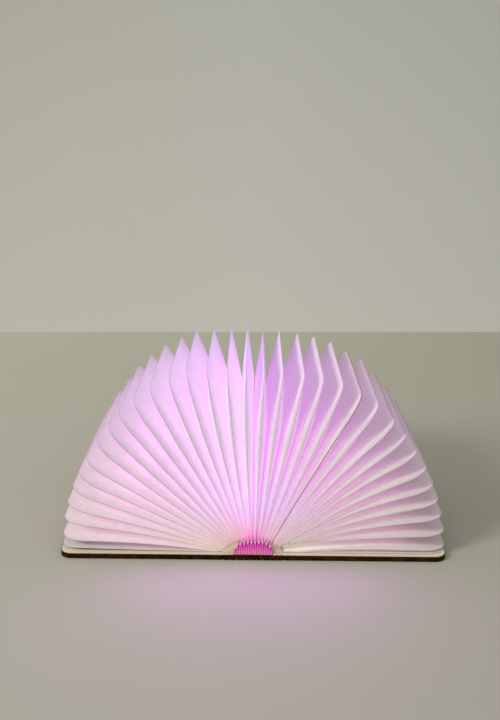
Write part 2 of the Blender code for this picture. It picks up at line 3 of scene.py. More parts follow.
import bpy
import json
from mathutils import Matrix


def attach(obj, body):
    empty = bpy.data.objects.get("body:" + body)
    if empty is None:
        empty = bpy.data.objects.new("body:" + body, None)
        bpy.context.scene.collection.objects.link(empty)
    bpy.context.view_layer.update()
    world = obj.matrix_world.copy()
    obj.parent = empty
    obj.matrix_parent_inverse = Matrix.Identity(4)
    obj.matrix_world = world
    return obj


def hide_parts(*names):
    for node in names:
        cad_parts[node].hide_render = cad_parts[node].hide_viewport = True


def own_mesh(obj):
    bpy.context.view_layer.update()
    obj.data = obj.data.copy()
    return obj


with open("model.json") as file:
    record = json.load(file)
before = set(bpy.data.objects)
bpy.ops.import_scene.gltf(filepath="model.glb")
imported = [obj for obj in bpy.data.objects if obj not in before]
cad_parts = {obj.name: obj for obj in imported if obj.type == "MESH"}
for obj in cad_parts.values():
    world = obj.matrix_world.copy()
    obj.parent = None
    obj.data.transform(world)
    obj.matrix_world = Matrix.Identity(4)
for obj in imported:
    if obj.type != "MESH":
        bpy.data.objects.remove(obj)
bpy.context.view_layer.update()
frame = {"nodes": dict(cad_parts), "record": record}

import json
import math
import random

import bmesh
import bpy
from mathutils import Matrix, Vector

MM = 0.001

# The part's own sizes, which the paper follows
BOARD_THICKNESS = 2.8 * MM
ENDPAPER_TOP = 3.5 * MM
OPEN_HALF_WIDTH = 102 * MM
HALF_DEPTH = 61 * MM
SLAT_PITCH = 3.493488 * MM
CLOSED_THICKNESS = 25 * MM
FOLD_SHARES = (3.5 / 16, 3 / 16, 3 / 16, 3 / 16, 3.5 / 16)
PAGES_PER_SIDE = 16
PAGE_HALF_DEPTH = 58 * MM
FAN_HALF_WIDTH = 101.5 * MM
FAN_HEIGHT = 100.5 * MM
MOUTH_HALF_WIDTH = 16.2 * MM
MOUTH_HEIGHT = 7.1 * MM
QUARTER_TURN = math.radians(90)
HALF_BOARD = BOARD_THICKNESS / 2
STACK_HALF_WIDTH = CLOSED_THICKNESS / 2 - ENDPAPER_TOP
FOLDS_BEFORE = [QUARTER_TURN * sum(FOLD_SHARES[:number]) for number in range(len(FOLD_SHARES))]

# The paper pockets: places are millimetres from an edge, toward the middle
LEAF_THICKNESS = 0.12 * MM
LEAF_GAP = 0.004 * MM
PAGE_CORNER_RADIUS = 13 * MM
SEAM_WIDTH = 1.6 * MM
END_RUN = 12 * MM
END_POWER = 0.62
WEDGE_RUN = 31 * MM
FULLNESS = 0.94
LEAF_CLEARANCE = 0.06 * MM
# The page whose edge shows the brown joint, and how far each of its leaves stands out there
JOIN_PAGE = ("right", 6)
JOIN_RIM = 0.2 * MM
EDGE_PLACES = (0, 0.35, 1.6, 2.2, 2.9, 3.8, 4.8, 6.0, 7.4, 9.0, 11.0, 13.5)
WEDGE_PLACES = (34, 31, 28, 24, 20, 16.5)
MOUTH_ROWS = 13
MIDDLE_COLUMNS = 7
SEAM_STEPS = 2
PUCKER_ACROSS = 8.5 * MM
PUCKER_ALONG = 11 * MM
PUCKER_SHARE = 0.03
WAVE_LENGTH = 13 * MM
WAVE_HEIGHT = 0.12 * MM

# How far from a glued edge the light is weak: beside the seam of a leaf that faces left, of one
# that faces right, at the fore-edge, and into a right-hand pocket's fold
LEFT_LEAF_SHADE = 5.2 * MM
RIGHT_LEAF_SHADE = 9 * MM
FORE_EDGE_SHADE = 1.2 * MM
FORE_EDGE_GLUE = 0.5 * MM
FOLD_START = 3 * MM
FOLD_SHADE = 8 * MM
FOLD_SHADE_AT_FORE_EDGE = 5 * MM

# The glued sheets and fly leaves on the boards
SHEET_MARGIN = 0.4 * MM
SHEET_GAP = 0.03 * MM
SHEET_CORNER_RADIUS = 5.9 * MM
SHEET_ROWS = 24
CORNER_TURNS = (18, 36, 54, 72, 90)
FLY_LEAF_THICKNESS = 0.26 * MM
FLY_LEAF_CORNER_RADIUS = 9 * MM
FLY_LEAF_CROWN = 0.7 * MM
FLY_LEAF_LIFT = 1.5 * MM

# The pleats at the tunnel's ends, and the hinge lining beside them
PLEAT_PITCH = 1.2 * MM
PLEAT_SHARES = (0, 0.26, 0.5, 0.72, 0.78, 0.85, 0.92, 1)
PLEAT_FRONT = 60.1 * MM
PLEAT_BACK = 59.2 * MM
PLEAT_DEPTH = 0.32 * MM
PLEAT_LOWEST = 0.15 * MM
MOUTH_PITCH = 1.93 * MM
ARCH_HALF_WIDTH = 10.1 * MM
ARCH_HEIGHT = 7.4 * MM
SOCKET_HALF_WIDTH = 5 * MM
LINING_START = 7.7 * MM
LINING_STEPS = 8
LINING_CLEARANCE = 0.4 * MM
LINING_FOOT = 1.95 * MM
LINING_FOOT_START = 10.3 * MM
# From the lining's end: a place in millimetres, a height in millimetres and a share of its rise
LINING_PROFILE = ((0, 0.1, 0), (0.4, 0.35, 0), (1.95, 0.45, 0), (2.0, 0, 0.3), (2.5, 0, 0.6),
                  (3.4, 0, 0.85), (5.5, 0, 1))

# The camera and the stage
FOCAL_LENGTH = 54.35
CAMERA_PLACE = (-0.63 * MM, -591.2 * MM, 240.1 * MM)
CAMERA_TURN = math.radians(0.21)
CAMERA_TILT = math.radians(90 - 13.92)
CAMERA_ROLL = 0.0091
STAGE_REACH = 2.5
WALL_DISTANCE = 496.9 * MM
WALL_SLANT = 0.0461
SIDEWAYS_REACH = 0.27

# The size of each pattern's grain. Single fibres, pores and grit are far too fine to show at
# the size of the render, so they are drawn as coarse as it takes to see them.
CLOUD_SIZE = 3.8 * MM
FIBRE_SIZE = 0.67 * MM
GRAIN_WIDTH = 7.7 * MM
PORE_WIDTH = 0.7 * MM
CHAR_SIZE = 2.4 * MM
FROST_SIZE = 1.1 * MM
DRIFT_SIZE = 450 * MM

# How the lamp in the photograph hangs, from its upright pages to its lowest: how far each one
# leans up from its even place, in degrees, how much longer its paper reaches, and how far it
# stands off its plane at the mouth and in its middle, in millimetres
LEANS = {
    "left": (0.5, 0.8, 0.9, 0.9, 1.2, 0.9, 0.8, 0.7, 1.0, 0.8, -0.2, 0.1, 0.7, 0.6, 0.7, 0.5),
    "right": (0.3, 0.6, 0, 0.3, 0.1, -0.4, -0.4, -1.6, -1.6, -2.0, -2.7, -3.0, -2.9, -2.6, -2.6,
              -2.3),
}
REACHES = {
    "left": (1.0, 0.2, 1.6, 3.2, 2.5, 2.8, 2.1, 1.8, 0.6, 0.5, -0.1, 0.2, 0.4, 0.7, 0.9, 0.8),
    "right": (-1.8, -1.0, -1.0, 0.2, 1.2, 1.1, 1.9, 1.0, 0.8, 0.6, 0.5, 0.4, 0.7, 0.9, 1.2, 1.3),
}
MOUTH_SHIFTS = {
    "left": (-0.5, -0.8, -0.6, -0.3, 0, 0, 0, 0, 0, 0, 0, 0, 0, 0, 0, 0),
    "right": (0, -0.8, -0.9, -1.2, -1.5, -2.0, -2.1, -1.7, -1.1, -0.5, -0.2, 0.8, 1.5, 1.9, 3.2,
              -0.3),
}
MIDDLE_SHIFTS = {
    "left": (-0.7, -1.0, -0.9, -0.6, -0.2, 0, 0, 0, 0, 0, 0, 0.3, 0.7, 0.9, 1.5, 1.2),
    "right": (0, -0.5, -0.9, -1.3, -1.3, -0.9, -0.7, -0.5, 0, 0.8, 0.9, 1.6, 1.8, 1.8, 1.6, -0.3),
}
MOUTH_PLACE = 0.09
MIDDLE_PLACE = 0.36


def linear_colour(code):
    """An sRGB hex colour as linear red, green and blue, with an alpha of 1."""
    shares = [int(code[place : place + 2], 16) / 255 for place in (1, 3, 5)]
    linear = [s / 12.92 if s <= 0.04045 else ((s + 0.055) / 1.055) ** 2.4 for s in shares]
    return (*linear, 1)


def add(tree, kind, settings=None, links=None):
    """Adds a node. A setting names an input, an attribute, or a ramp's stops; a link names an
    input and gives the node and the output that feed it."""
    node = tree.nodes.new(kind)
    for name, value in (settings or {}).items():
        if isinstance(value, str) and value.startswith("#"):
            value = linear_colour(value)
        if name == "stops":
            elements = node.color_ramp.elements
            while len(elements) < len(value):
                elements.new(0.5)
            for element, (place, colour) in zip(elements, value):
                element.position = place
                element.color = linear_colour(colour)
        elif name in node.inputs:
            node.inputs[name].default_value = value
        else:
            setattr(node, name, value)
    for name, (source, output) in (links or {}).items():
        tree.links.new(source.outputs[output], node.inputs[name])
    return node


def new_material(name):
    """An empty material with its shader, its output and the part's own coordinates."""
    material = bpy.data.materials.new(name)
    material.use_nodes = True
    tree = material.node_tree
    tree.nodes.clear()
    shader = add(tree, "ShaderNodeBsdfPrincipled")
    add(tree, "ShaderNodeOutputMaterial", links={"Surface": (shader, "BSDF")})
    place = add(tree, "ShaderNodeTexCoord")
    return material, tree, shader, place


def spun_paper():
    """Spun-bonded paper, rolled flat from endless fibres: matt, with cloudy swirls a few
    millimetres across and a fine felt, and it glows where the light bar shines through it."""
    material, tree, shader, place = new_material("spun_bonded_paper")
    clouds = add(tree, "ShaderNodeTexNoise",
                 {"Scale": 1 / CLOUD_SIZE, "Detail": 5, "Roughness": 0.6},
                 {"Vector": (place, "Object")})
    fibres = add(tree, "ShaderNodeTexNoise",
                 {"Scale": 1 / FIBRE_SIZE, "Detail": 3, "Distortion": 1.6},
                 {"Vector": (place, "Object")})
    colour = add(tree, "ShaderNodeValToRGB",
                 {"stops": ((0.3, "#cfcbc8"), (0.7, "#d8d4d1"))}, {"Fac": (clouds, "Fac")})
    # The rim darkens the paper along its glued edges: partly the glue line, partly painted shade
    rim = add(tree, "ShaderNodeAttribute", {"attribute_name": "rim"})
    glued = add(tree, "ShaderNodeMixRGB", {"Color2": "#a08c90"},
                {"Fac": (rim, "Fac"), "Color1": (colour, "Color")})
    tree.links.new(glued.outputs["Color"], shader.inputs["Base Color"])
    shader.inputs["Roughness"].default_value = 0.82
    shader.inputs["Sheen Weight"].default_value = 0.15
    bump = add(tree, "ShaderNodeBump", {"Strength": 0.12, "Distance": 0.05 * MM},
               {"Height": (fibres, "Fac")})
    tree.links.new(bump.outputs["Normal"], shader.inputs["Normal"])
    reach = add(tree, "ShaderNodeAttribute", {"attribute_name": "reach"})
    upright = add(tree, "ShaderNodeValToRGB", {
        "stops": ((0, "#dc6aa8"), (0.06, "#d688c4"), (0.2, "#dc9cf0"), (0.45, "#f0a0ff"),
                   (1, "#d896ff"))},
        {"Fac": (reach, "Fac")})
    low = add(tree, "ShaderNodeValToRGB", {
        "stops": ((0, "#d8c09c"), (0.12, "#dcb6b2"), (0.5, "#f0accf"), (1, "#e6aecd"))},
        {"Fac": (reach, "Fac")})
    turn = add(tree, "ShaderNodeAttribute", {"attribute_name": "turn"})
    tint = add(tree, "ShaderNodeMixRGB", links={
        "Fac": (turn, "Fac"), "Color1": (upright, "Color"), "Color2": (low, "Color")})
    pale = add(tree, "ShaderNodeAttribute", {"attribute_name": "pale"})
    cooled = add(tree, "ShaderNodeMixRGB", {"Color2": "#a8dcff"},
                 {"Fac": (pale, "Fac"), "Color1": (tint, "Color")})
    glow = add(tree, "ShaderNodeAttribute", {"attribute_name": "glow"})
    mottle = add(tree, "ShaderNodeMapRange", {"From Min": 0.25, "From Max": 0.75,
                                              "To Min": 0.94, "To Max": 1.06},
                 {"Value": (clouds, "Fac")})
    level = add(tree, "ShaderNodeMath", {"operation": "MULTIPLY"})
    tree.links.new(glow.outputs["Fac"], level.inputs[0])
    tree.links.new(mottle.outputs["Result"], level.inputs[1])
    light = add(tree, "ShaderNodeVectorMath", {"operation": "SCALE"},
                {"Scale": (level, "Value")})
    tree.links.new(cooled.outputs["Color"], light.inputs[0])
    tree.links.new(light.outputs["Vector"], shader.inputs["Emission Color"])
    shader.inputs["Emission Strength"].default_value = 0.64
    return material


def burnt_walnut():
    """Walnut veneer board, stained and cut by laser: straight grain on its faces and
    charred, almost black edges."""
    material, tree, shader, place = new_material("laser_cut_walnut")
    stretch = add(tree, "ShaderNodeMapping", {"Scale": (1, 0.06, 1)},
                  {"Vector": (place, "Object")})
    figure = add(tree, "ShaderNodeTexNoise",
                 {"Scale": 1 / GRAIN_WIDTH, "Detail": 7, "Distortion": 0.8},
                 {"Vector": (stretch, "Vector")})
    pores = add(tree, "ShaderNodeTexNoise", {"Scale": 1 / PORE_WIDTH, "Detail": 2},
                {"Vector": (stretch, "Vector")})
    grain = add(tree, "ShaderNodeValToRGB", {
        "stops": ((0.3, "#2a170d"), (0.45, "#43281a"), (0.58, "#543424"), (0.75, "#38200f"))},
        {"Fac": (figure, "Fac")})
    dark = add(tree, "ShaderNodeValToRGB", {"stops": ((0.36, "#8a7a70"), (0.46, "#ffffff"))},
               {"Fac": (pores, "Fac")})
    face = add(tree, "ShaderNodeMixRGB", {"blend_type": "MULTIPLY", "Fac": 0.8},
               {"Color1": (grain, "Color"), "Color2": (dark, "Color")})
    char = add(tree, "ShaderNodeTexNoise", {"Scale": 1 / CHAR_SIZE, "Detail": 4},
               {"Vector": (place, "Object")})
    burnt = add(tree, "ShaderNodeValToRGB", {
        "stops": ((0.35, "#190b02"), (0.55, "#2f1604"), (0.7, "#442409"))},
        {"Fac": (char, "Fac")})
    shape = add(tree, "ShaderNodeNewGeometry")
    facing = add(tree, "ShaderNodeSeparateXYZ", links={"Vector": (shape, "True Normal")})
    flat = add(tree, "ShaderNodeMath", {"operation": "ABSOLUTE"})
    tree.links.new(facing.outputs["Z"], flat.inputs[0])
    edge = add(tree, "ShaderNodeMapRange", {"From Min": 0.6, "From Max": 0.95},
               {"Value": (flat, "Value")})
    colour = add(tree, "ShaderNodeMixRGB", links={
        "Fac": (edge, "Result"), "Color1": (burnt, "Color"), "Color2": (face, "Color")})
    tree.links.new(colour.outputs["Color"], shader.inputs["Base Color"])
    shader.inputs["Roughness"].default_value = 0.65
    shader.inputs["Specular IOR Level"].default_value = 0.06
    bump = add(tree, "ShaderNodeBump", {"Strength": 0.35, "Distance": 0.1 * MM},
               {"Height": (pores, "Fac")})
    tree.links.new(bump.outputs["Normal"], shader.inputs["Normal"])
    return material


def plain_finish(name, stops, grain_size, roughness, metallic=0.0):
    """A finish whose colour drifts between its stops, over a fine relief of the same grain."""
    material, tree, shader, place = new_material(name)
    grain = add(tree, "ShaderNodeTexNoise", {"Scale": 1 / grain_size, "Detail": 4},
                {"Vector": (place, "Object")})
    colour = add(tree, "ShaderNodeValToRGB", {"stops": stops}, {"Fac": (grain, "Fac")})
    tree.links.new(colour.outputs["Color"], shader.inputs["Base Color"])
    relief = add(tree, "ShaderNodeBump", {"Strength": 0.1, "Distance": 0.03 * MM},
                 {"Height": (grain, "Fac")})
    tree.links.new(relief.outputs["Normal"], shader.inputs["Normal"])
    shader.inputs["Roughness"].default_value = roughness
    shader.inputs["Metallic"].default_value = metallic
    return material


def lit_plastic(name, base, glow, strength):
    """Frosted polycarbonate, extruded: the light behind its skin shows in soft upright lines."""
    material, tree, shader, place = new_material(name)
    frost = add(tree, "ShaderNodeTexNoise", {"Scale": 1 / FROST_SIZE, "Detail": 3},
                {"Vector": (place, "Object")})
    colour = add(tree, "ShaderNodeValToRGB", {"stops": base}, {"Fac": (frost, "Fac")})
    tree.links.new(colour.outputs["Color"], shader.inputs["Base Color"])
    shader.inputs["Roughness"].default_value = 0.45
    shader.inputs["IOR"].default_value = 1.58
    light = add(tree, "ShaderNodeValToRGB", {"stops": glow},
                {"Fac": (wave_across(tree, place, PLEAT_PITCH), "Result")})
    tree.links.new(light.outputs["Color"], shader.inputs["Emission Color"])
    shader.inputs["Emission Strength"].default_value = strength
    return material


def wave_across(tree, place, pitch):
    """A wave across the lamp, from 0 to 1 and back."""
    across = add(tree, "ShaderNodeSeparateXYZ", links={"Vector": (place, "Object")})
    turns = add(tree, "ShaderNodeMath", {"operation": "MULTIPLY"})
    tree.links.new(across.outputs["X"], turns.inputs[0])
    turns.inputs[1].default_value = math.tau / pitch
    wave = add(tree, "ShaderNodeMath", {"operation": "COSINE"})
    tree.links.new(turns.outputs["Value"], wave.inputs[0])
    return add(tree, "ShaderNodeMapRange", {"From Min": -1, "From Max": 1},
               {"Value": (wave, "Value")})


def pleated_paper():
    """Spun-bonded paper pleated over the open end of the light bar: it glows most strongly
    under its top edge and pales to salmon at its foot. Painted shade darkens its glow along each
    fold and its base to dark purple, and painted shadows mark the gaps between the pages' mouths."""
    material, tree, shader, place = new_material("pleated_spun_paper")
    fibres = add(tree, "ShaderNodeTexNoise", {"Scale": 1 / FIBRE_SIZE, "Detail": 3},
                 {"Vector": (place, "Object")})
    # Painted shade: a dark purple base in place of the white paper's own colour
    colour = add(tree, "ShaderNodeValToRGB", {"stops": ((0.3, "#7c3c60"), (0.7, "#8a4a6e"))},
                 {"Fac": (fibres, "Fac")})
    tree.links.new(colour.outputs["Color"], shader.inputs["Base Color"])
    shader.inputs["Roughness"].default_value = 0.8
    rise = add(tree, "ShaderNodeAttribute", {"attribute_name": "rise"})
    ridge = add(tree, "ShaderNodeValToRGB", {
        "stops": ((0, "#e68a9a"), (0.26, "#e48cc0"), (0.5, "#e65cc2"), (0.72, "#dc1cb0"))},
        {"Fac": (rise, "Fac")})
    fold = add(tree, "ShaderNodeValToRGB", {
        "stops": ((0, "#b4485e"), (0.26, "#b8367e"), (0.5, "#b41888"), (0.72, "#a80484"))},
        {"Fac": (rise, "Fac")})
    lit = add(tree, "ShaderNodeMixRGB", links={
        "Fac": (wave_across(tree, place, PLEAT_PITCH), "Result"), "Color1": (fold, "Color"),
        "Color2": (ridge, "Color")})
    # Painted shadows: dark teeth along the top edge, at the gaps between the pages' mouths
    taper = add(tree, "ShaderNodeMapRange", {"From Min": 0.76, "From Max": 1.16},
                {"Value": (rise, "Fac")})
    painted_mouth_shadow = add(tree, "ShaderNodeMath", {"operation": "SUBTRACT"})
    tree.links.new(wave_across(tree, place, MOUTH_PITCH).outputs["Result"], painted_mouth_shadow.inputs[0])
    tree.links.new(taper.outputs["Result"], painted_mouth_shadow.inputs[1])
    dark = add(tree, "ShaderNodeMapRange", {"From Min": 0, "From Max": 0.25},
               {"Value": (painted_mouth_shadow, "Value")})
    top = add(tree, "ShaderNodeMixRGB", {"Color1": "#f4a2d2", "Color2": "#3c0228"},
              {"Fac": (dark, "Result")})
    above = add(tree, "ShaderNodeMapRange", {"From Min": 0.74, "From Max": 0.8},
                {"Value": (rise, "Fac")})
    light = add(tree, "ShaderNodeMixRGB", links={
        "Fac": (above, "Result"), "Color1": (lit, "Color"), "Color2": (top, "Color")})
    tree.links.new(light.outputs["Color"], shader.inputs["Emission Color"])
    shader.inputs["Emission Strength"].default_value = 0.72
    return material


def page_share(index):
    return (index + 0.5) / PAGES_PER_SIDE


def page_angle(index):
    return QUARTER_TURN * (1 - page_share(index))


def page_hinge(index):
    turned = QUARTER_TURN * page_share(index)
    return sum(fold <= turned + 1e-9 for fold in FOLDS_BEFORE) - 1


def page_line(index):
    """A point on the hinge line's level and the direction of a right-hand page, in (x, z)."""
    hinge = page_hinge(index)
    closed = (0.5 + sum(math.cos(fold) for fold in FOLDS_BEFORE[1 : hinge + 1])) * SLAT_PITCH
    offset = closed - page_share(index) * STACK_HALF_WIDTH
    angle = page_angle(index)
    x = (hinge + 0.5) * SLAT_PITCH - offset * math.sin(angle)
    z = HALF_BOARD + offset * math.cos(angle)
    return (x, z), (math.cos(angle), math.sin(angle))


def distance_to_ellipse(line, half_width, height):
    (x, z), (run, rise) = line
    z -= BOARD_THICKNESS
    a = (run / half_width) ** 2 + (rise / height) ** 2
    b = x * run / half_width**2 + z * rise / height**2
    c = (x / half_width) ** 2 + (z / height) ** 2 - 1
    return (math.sqrt(b * b - a * c) - b) / a


class Page:
    """The middle surface of one pocket, seen from the tail: a line that bends as it hangs."""

    def __init__(self, side, side_name, index):
        self.side, self.side_name, self.index = side, side_name, index
        self.line = page_line(index)
        self.mouth = distance_to_ellipse(self.line, MOUTH_HALF_WIDTH, MOUTH_HEIGHT)
        reach = REACHES[side_name][index] * MM
        self.fore_edge = distance_to_ellipse(self.line, FAN_HALF_WIDTH, FAN_HEIGHT) + reach
        self.shifts = (
            MOUTH_SHIFTS[side_name][index] * MM,
            MIDDLE_SHIFTS[side_name][index] * MM,
            self.fore_edge * math.tan(math.radians(LEANS[side_name][index])),
        )

    def shift(self, along):
        """How far the page stands off its plane: a curve through its three given places."""
        place = along / self.fore_edge
        a, b, c = MOUTH_PLACE, MIDDLE_PLACE, 1
        near, middle, far = self.shifts
        return (
            near * (place - b) * (place - c) / ((a - b) * (a - c))
            + middle * (place - a) * (place - c) / ((b - a) * (b - c))
            + far * (place - a) * (place - b) / ((c - a) * (c - b))
        )

    def point(self, along, off=0.0):
        """(x, z) at a distance along the page, and off its middle surface."""
        (x, z), (run, rise) = self.line
        off += self.shift(along)
        return self.side * (x + along * run - off * rise), z + along * rise + off * run


def distance_to_path(point, path):
    x, z = point
    nearest = 1.0
    for (ax, az), (bx, bz) in zip(path, path[1:]):
        dx, dz = bx - ax, bz - az
        share = ((x - ax) * dx + (z - az) * dz) / (dx * dx + dz * dz)
        share = max(0, min(1, share))
        nearest = min(nearest, math.hypot(x - ax - share * dx, z - az - share * dz))
    return nearest


def swell(distance):
    """How full a pocket is at a distance from its glued end, as a share."""
    share = (distance - SEAM_WIDTH) / (END_RUN - SEAM_WIDTH)
    return math.sin(QUARTER_TURN * max(0, min(1, share))) ** END_POWER


def smooth_step(share):
    share = max(0, min(1, share))
    return share * share * (3 - 2 * share)


def row_places(mouth, fore_edge):
    """Distances along a page from its mouth to its fore-edge, closer together at the edge."""
    near = [fore_edge - place * MM for place in WEDGE_PLACES]
    near += [fore_edge - place * MM for place in reversed(EDGE_PLACES)]
    inner = [mouth + (near[0] - mouth) * step / MOUTH_ROWS for step in range(MOUTH_ROWS)]
    return inner + near


def column_places():
    """Shares of the half depth, from tail to head, closer together at both ends."""
    ends = [1 - place * MM / PAGE_HALF_DEPTH for place in EDGE_PLACES]
    half = ends + [ends[-1] * (1 - step / MIDDLE_COLUMNS) for step in range(1, MIDDLE_COLUMNS)]
    return [-share for share in half] + [0] + half[::-1]


def half_depth_at(from_fore_edge):
    """Half the depth of a page at a distance from its fore-edge, round its two corners."""
    radius = PAGE_CORNER_RADIUS
    into_corner = max(0, radius - from_fore_edge)
    return PAGE_HALF_DEPTH - radius + math.sqrt(max(0, radius**2 - into_corner**2))


def fullness_at(from_fore_edge, place):
    """How full a pocket is, as a share: a steep rise from its two ends and a long wedge from
    its fore-edge, along an outline with round corners."""
    radius = PAGE_CORNER_RADIUS
    into_corner = max(0, abs(place) - (PAGE_HALF_DEPTH - radius))
    cut = radius - math.sqrt(max(0, radius**2 - into_corner**2))
    from_end = half_depth_at(from_fore_edge) - abs(place)
    wedge = (from_fore_edge - cut - SEAM_WIDTH) / (WEDGE_RUN - SEAM_WIDTH)
    return swell(from_end) * max(0, min(1, wedge))


def glow_at(page, face, along, y):
    """How brightly the light bar shines through a leaf: less beside its glued edges and at its
    far tips, and in the right-hand pockets' folds, which hide the bar from each other."""
    place = along / page.fore_edge
    from_fore_edge = page.fore_edge - along
    from_end = PAGE_HALF_DEPTH - abs(y)
    right = page.side > 0
    loss, level = (0.8, 0.93) if right else (0.64, 1)
    fan_light = level * (1 - loss * page_share(page.index) ** 1.1 * (0.4 + 0.6 * place))
    if right == (face == 0):
        run = LEFT_LEAF_SHADE * place
        edge = 0.04 + 0.96 * smooth_step((from_end - SEAM_WIDTH / 2 - 0.45 * run) / (0.75 * run))
    else:
        edge = 0.6 + 0.5 * smooth_step(from_end / RIGHT_LEAF_SHADE)
    if right:
        unglued = from_fore_edge - FORE_EDGE_GLUE
        edge *= 0.15 + 0.85 * smooth_step(unglued / FORE_EDGE_SHADE)
        edge *= 1 - 0.4 * smooth_step((from_end - FOLD_START) / FOLD_SHADE) * smooth_step(
            unglued / FOLD_SHADE_AT_FORE_EDGE)
    fading = 0.1 + 0.5 * page_share(page.index) if right else 0.3
    tip = 1 - fading * smooth_step((place - 0.72) / 0.28)
    back = 1 - 0.35 * smooth_step(y / PAGE_HALF_DEPTH) * smooth_step((place - 0.6) / 0.35)
    return fan_light * edge * tip * back


def paleness_at(page, along):
    """How much cool white the glow holds: most on the left-hand pockets, away from the bar."""
    place = along / page.fore_edge
    if page.side > 0:
        return 0.1 * (1 - smooth_step((place - 0.3) / 0.3))
    return (0.14 - 0.06 * page_share(page.index)) * smooth_step((place + 0.1) / 0.5)


def paper_pocket(page, neighbours, carrier, paper, kraft):
    """One pocket of two leaves, glued at tail, fore-edge and head and open at the spine."""
    side, side_name, index = page.side, page.side_name, page.index
    draw = random.Random(100 * index + (7 if side > 0 else 3))
    phase = [draw.uniform(0, math.tau) for _ in range(6)]
    rows = row_places(page.mouth, page.fore_edge)
    columns = column_places()
    last_row, last_column = len(rows) - 1, len(columns) - 1
    seam_row, seam_columns = last_row - SEAM_STEPS, (SEAM_STEPS, last_column - SEAM_STEPS)
    joined = JOIN_PAGE == (side_name, index + 1)
    middles = [page.point(along) for along in rows]
    rooms = [[distance_to_path(middle, path) / 2 - LEAF_CLEARANCE - LEAF_THICKNESS
              for middle in middles] for path in neighbours]
    vertices, reach, glow, turn, rim, pale = [], [], [], [], [], []
    numbers = {}

    def point(shell, face, row, column):
        merged = shell == "inner" and (row >= seam_row or column in seam_columns)
        key = (shell, 0 if merged else face, row, column)
        if key in numbers:
            return numbers[key]
        along = rows[row]
        from_fore_edge = page.fore_edge - along
        place = columns[column] * half_depth_at(from_fore_edge)
        pucker = math.sin(place / PUCKER_ACROSS + phase[face]) * math.sin(
            along / PUCKER_ALONG + phase[2 + face])
        full = fullness_at(from_fore_edge, place) * (1 + PUCKER_SHARE * pucker)
        hollow = max(0, rooms[face][row]) * FULLNESS * full
        at_rim = row == last_row or column in (0, last_column)
        leaf = JOIN_RIM if joined and at_rim else LEAF_THICKNESS
        off = hollow + leaf if shell == "outer" else (0 if merged else hollow + LEAF_GAP)
        spread = (along - page.mouth) / (page.fore_edge - page.mouth)
        wave = math.sin(along / WAVE_LENGTH + phase[4]) * WAVE_HEIGHT * spread
        off = off * (1 if face == 0 else -1) + wave * (place / PAGE_HALF_DEPTH) ** 2
        x, z = page.point(along, off)
        numbers[key] = len(vertices)
        vertices.append((x, place, z))
        reach.append((along - page.mouth) / (FAN_HALF_WIDTH - page.mouth))
        glow.append(glow_at(page, face, along, place) * (0.85 if at_rim else 1))
        # Painted shade along the glued rim: full on the left-hand pockets, weaker on the right,
        # none near the mouth
        rim.append(smooth_step((spread - 0.1) / 0.4) * (1 if side < 0 else 0.6) if at_rim else 0)
        pale.append(paleness_at(page, along))
        turn.append(page_share(index))
        return numbers[key]

    faces, tape = [], []

    def face_of(corners, flip, join=False):
        loop = [point(*corner) for corner in corners]
        faces.append(loop[::-1] if flip != (side < 0) else loop)
        tape.append(join)

    for face in (0, 1):
        for row in range(last_row):
            for column in range(last_column):
                ring = ((row, column), (row + 1, column), (row + 1, column + 1), (row, column + 1))
                face_of([("outer", face, *corner) for corner in ring], face == 1)
                if row < seam_row and SEAM_STEPS <= column < last_column - SEAM_STEPS:
                    face_of([("inner", face, *corner) for corner in ring], face == 0)
        for column in range(SEAM_STEPS, last_column - SEAM_STEPS):
            face_of([("outer", face, 0, column), ("outer", face, 0, column + 1),
                     ("inner", face, 0, column + 1), ("inner", face, 0, column)], face == 1)
    edge = [(row, 0) for row in range(last_row)]
    edge += [(last_row, column) for column in range(last_column)]
    edge += [(row, last_column) for row in range(last_row, -1, -1)]
    for here, there in zip(edge, edge[1:]):
        face_of([("outer", 0, *here), ("outer", 0, *there),
                 ("outer", 1, *there), ("outer", 1, *here)], False, joined)
    for end, seam, step in ((0, seam_columns[0], 1), (last_column, seam_columns[1], -1)):
        path = list(range(end, seam + step, step))
        ring = [("outer", 0, 0, column) for column in path]
        ring += [("inner", 0, 0, seam)]
        ring += [("outer", 1, 0, column) for column in reversed(path)]
        face_of(ring, step > 0)
    name = f"paper_pocket_{side_name}_{index + 1:02d}"
    pocket = closed_piece(name, vertices, faces, [paper, kraft], 70)
    for polygon, taped in zip(pocket.data.polygons, tape):
        polygon.material_index = 1 if taped else 0
    write_attributes(pocket, reach=reach, glow=glow, turn=turn, rim=rim, pale=pale)
    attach(pocket, carrier)
    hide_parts(f"page_{side_name}_{index + 1:02d}")
    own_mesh(pocket)


def closed_piece(name, vertices, faces, materials, sharp_angle=40):
    """A smooth closed mesh as an object, with its faces turned outward."""
    mesh = bpy.data.meshes.new(name)
    mesh.from_pydata(vertices, [], faces)
    for material in materials:
        mesh.materials.append(material)
    shape = bmesh.new()
    shape.from_mesh(mesh)
    bmesh.ops.recalc_face_normals(shape, faces=shape.faces)
    shape.to_mesh(mesh)
    shape.free()
    mesh.shade_smooth()
    mesh.set_sharp_from_angle(angle=math.radians(sharp_angle))
    piece = bpy.data.objects.new(name, mesh)
    bpy.context.collection.objects.link(piece)
    return piece


def write_attributes(piece, **values):
    """Keeps a number for each point of a piece, which its material reads by name."""
    for label, numbers in values.items():
        attribute = piece.data.attributes.new(label, "FLOAT", "POINT")
        attribute.data.foreach_set("value", numbers)


def fly_leaf_lift(side, x, y):
    """How far the fly leaf stands off the glued sheet: crowned, and on the left side it lifts
    along its outer half like one more page."""
    from_end = HALF_DEPTH - abs(y)
    from_fore_edge = OPEN_HALF_WIDTH - x
    crown = FLY_LEAF_CROWN * swell(from_end) * swell(from_fore_edge) * swell(x - 15 * MM)
    if side > 0:
        return crown
    return crown + FLY_LEAF_LIFT * max(0, (x - 20 * MM) / (80 * MM)) ** 1.4


